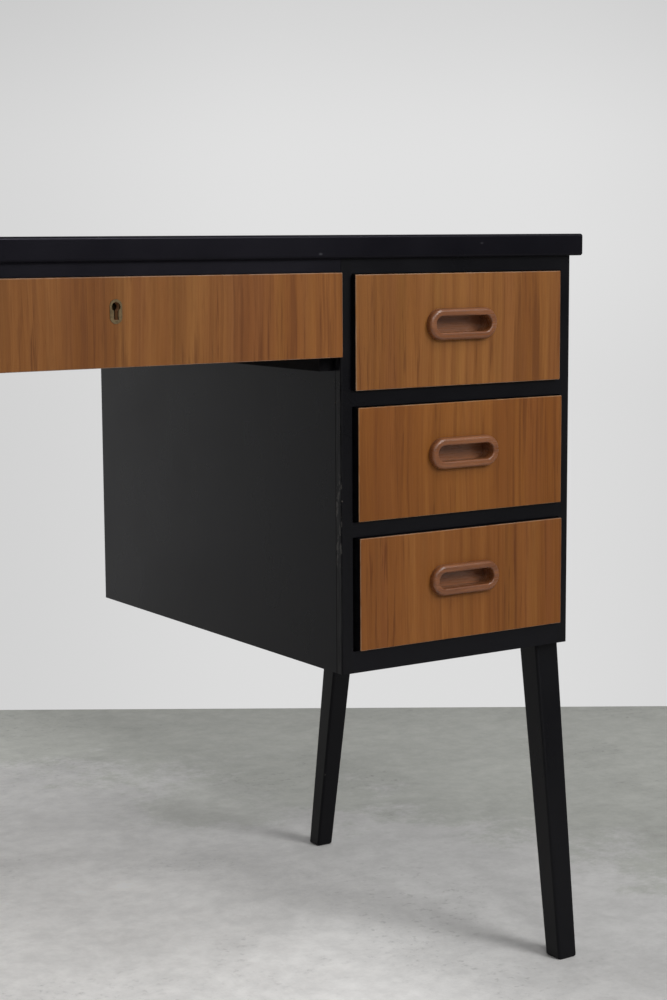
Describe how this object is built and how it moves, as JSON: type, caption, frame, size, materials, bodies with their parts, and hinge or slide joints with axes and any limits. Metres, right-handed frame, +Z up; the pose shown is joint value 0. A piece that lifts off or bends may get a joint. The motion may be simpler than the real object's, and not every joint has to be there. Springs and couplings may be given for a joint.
{
  "type": "desk",
  "caption": "Writing desk: black carcass and splayed tapered legs, teak drawer fronts with recessed pulls, a locking centre drawer over the kneehole.",
  "frame": {"origin": "on the floor, in the middle of the desk's overall box", "axes": "+X along the desk to the sitter's right, +Y from the sitter to the back, +Z up"},
  "size_m": [1.015, 0.517, 0.72],
  "materials": {
    "black_paint": "satin black paint on wood, lightly worn",
    "teak_veneer": "oiled teak veneer, upright grain",
    "solid_teak": "oiled solid teak, level grain",
    "beech": "plain sanded beech",
    "plywood": "thin birch plywood",
    "brass": "dull aged brass",
    "steel": "dull plated steel"
  },
  "bodies": {
    "carcass": {"centre_runners": "black_paint", "desktop": "black_paint", "drawer_stops": "beech", "front_left_leg": "black_paint", "front_right_leg": "black_paint", "kneehole_back_rail": "black_paint", "kneehole_rail": "black_paint", "left_inner_side": "black_paint", "left_outer_side": "black_paint", "left_pedestal_back": "black_paint", "left_pedestal_bottom": "black_paint", "left_rails": "black_paint", "leg_studs": "steel", "lock_keeper": "brass", "pedestal_runners": "beech", "rear_left_leg": "black_paint", "rear_right_leg": "black_paint", "right_inner_side": "black_paint", "right_outer_side": "black_paint", "right_pedestal_back": "black_paint", "right_pedestal_bottom": "black_paint", "right_rails": "black_paint", "side_lippings": "black_paint"},
    "right_lower_drawer": {"right_lower_front": "teak_veneer", "right_lower_pull": "solid_teak", "right_lower_sides": "beech", "right_lower_back": "beech", "right_lower_bottom": "plywood"},
    "right_middle_drawer": {"right_middle_front": "teak_veneer", "right_middle_pull": "solid_teak", "right_middle_sides": "beech", "right_middle_back": "beech", "right_middle_bottom": "plywood"},
    "right_upper_drawer": {"right_upper_front": "teak_veneer", "right_upper_pull": "solid_teak", "right_upper_sides": "beech", "right_upper_back": "beech", "right_upper_bottom": "plywood"},
    "left_lower_drawer": {"left_lower_front": "teak_veneer", "left_lower_pull": "solid_teak", "left_lower_sides": "beech", "left_lower_back": "beech", "left_lower_bottom": "plywood"},
    "left_middle_drawer": {"left_middle_front": "teak_veneer", "left_middle_pull": "solid_teak", "left_middle_sides": "beech", "left_middle_back": "beech", "left_middle_bottom": "plywood"},
    "left_upper_drawer": {"left_upper_front": "teak_veneer", "left_upper_pull": "solid_teak", "left_upper_sides": "beech", "left_upper_back": "beech", "left_upper_bottom": "plywood"},
    "centre_drawer": {"centre_front": "teak_veneer", "centre_sides": "beech", "centre_back": "beech", "centre_bottom": "plywood", "lock_case": "steel", "escutcheon": "brass"},
    "bolt": {"lock_bolt": "steel"}
  },
  "joints": [
    {"name": "right_lower_slide", "type": "slide", "parent": "carcass", "child": "right_lower_drawer", "axis": [0, -1, 0], "range_m": [0, 0.3]},
    {"name": "right_middle_slide", "type": "slide", "parent": "carcass", "child": "right_middle_drawer", "axis": [0, -1, 0], "range_m": [0, 0.3]},
    {"name": "right_upper_slide", "type": "slide", "parent": "carcass", "child": "right_upper_drawer", "axis": [0, -1, 0], "range_m": [0, 0.3]},
    {"name": "left_lower_slide", "type": "slide", "parent": "carcass", "child": "left_lower_drawer", "axis": [0, -1, 0], "range_m": [0, 0.3]},
    {"name": "left_middle_slide", "type": "slide", "parent": "carcass", "child": "left_middle_drawer", "axis": [0, -1, 0], "range_m": [0, 0.3]},
    {"name": "left_upper_slide", "type": "slide", "parent": "carcass", "child": "left_upper_drawer", "axis": [0, -1, 0], "range_m": [0, 0.3]},
    {"name": "centre_slide", "type": "slide", "parent": "carcass", "child": "centre_drawer", "axis": [0, -1, 0], "range_m": [0, 0.3]},
    {"name": "bolt_throw", "type": "slide", "parent": "centre_drawer", "child": "bolt", "axis": [0, 0, 1], "range_m": [0, 0.006]}
  ]
}
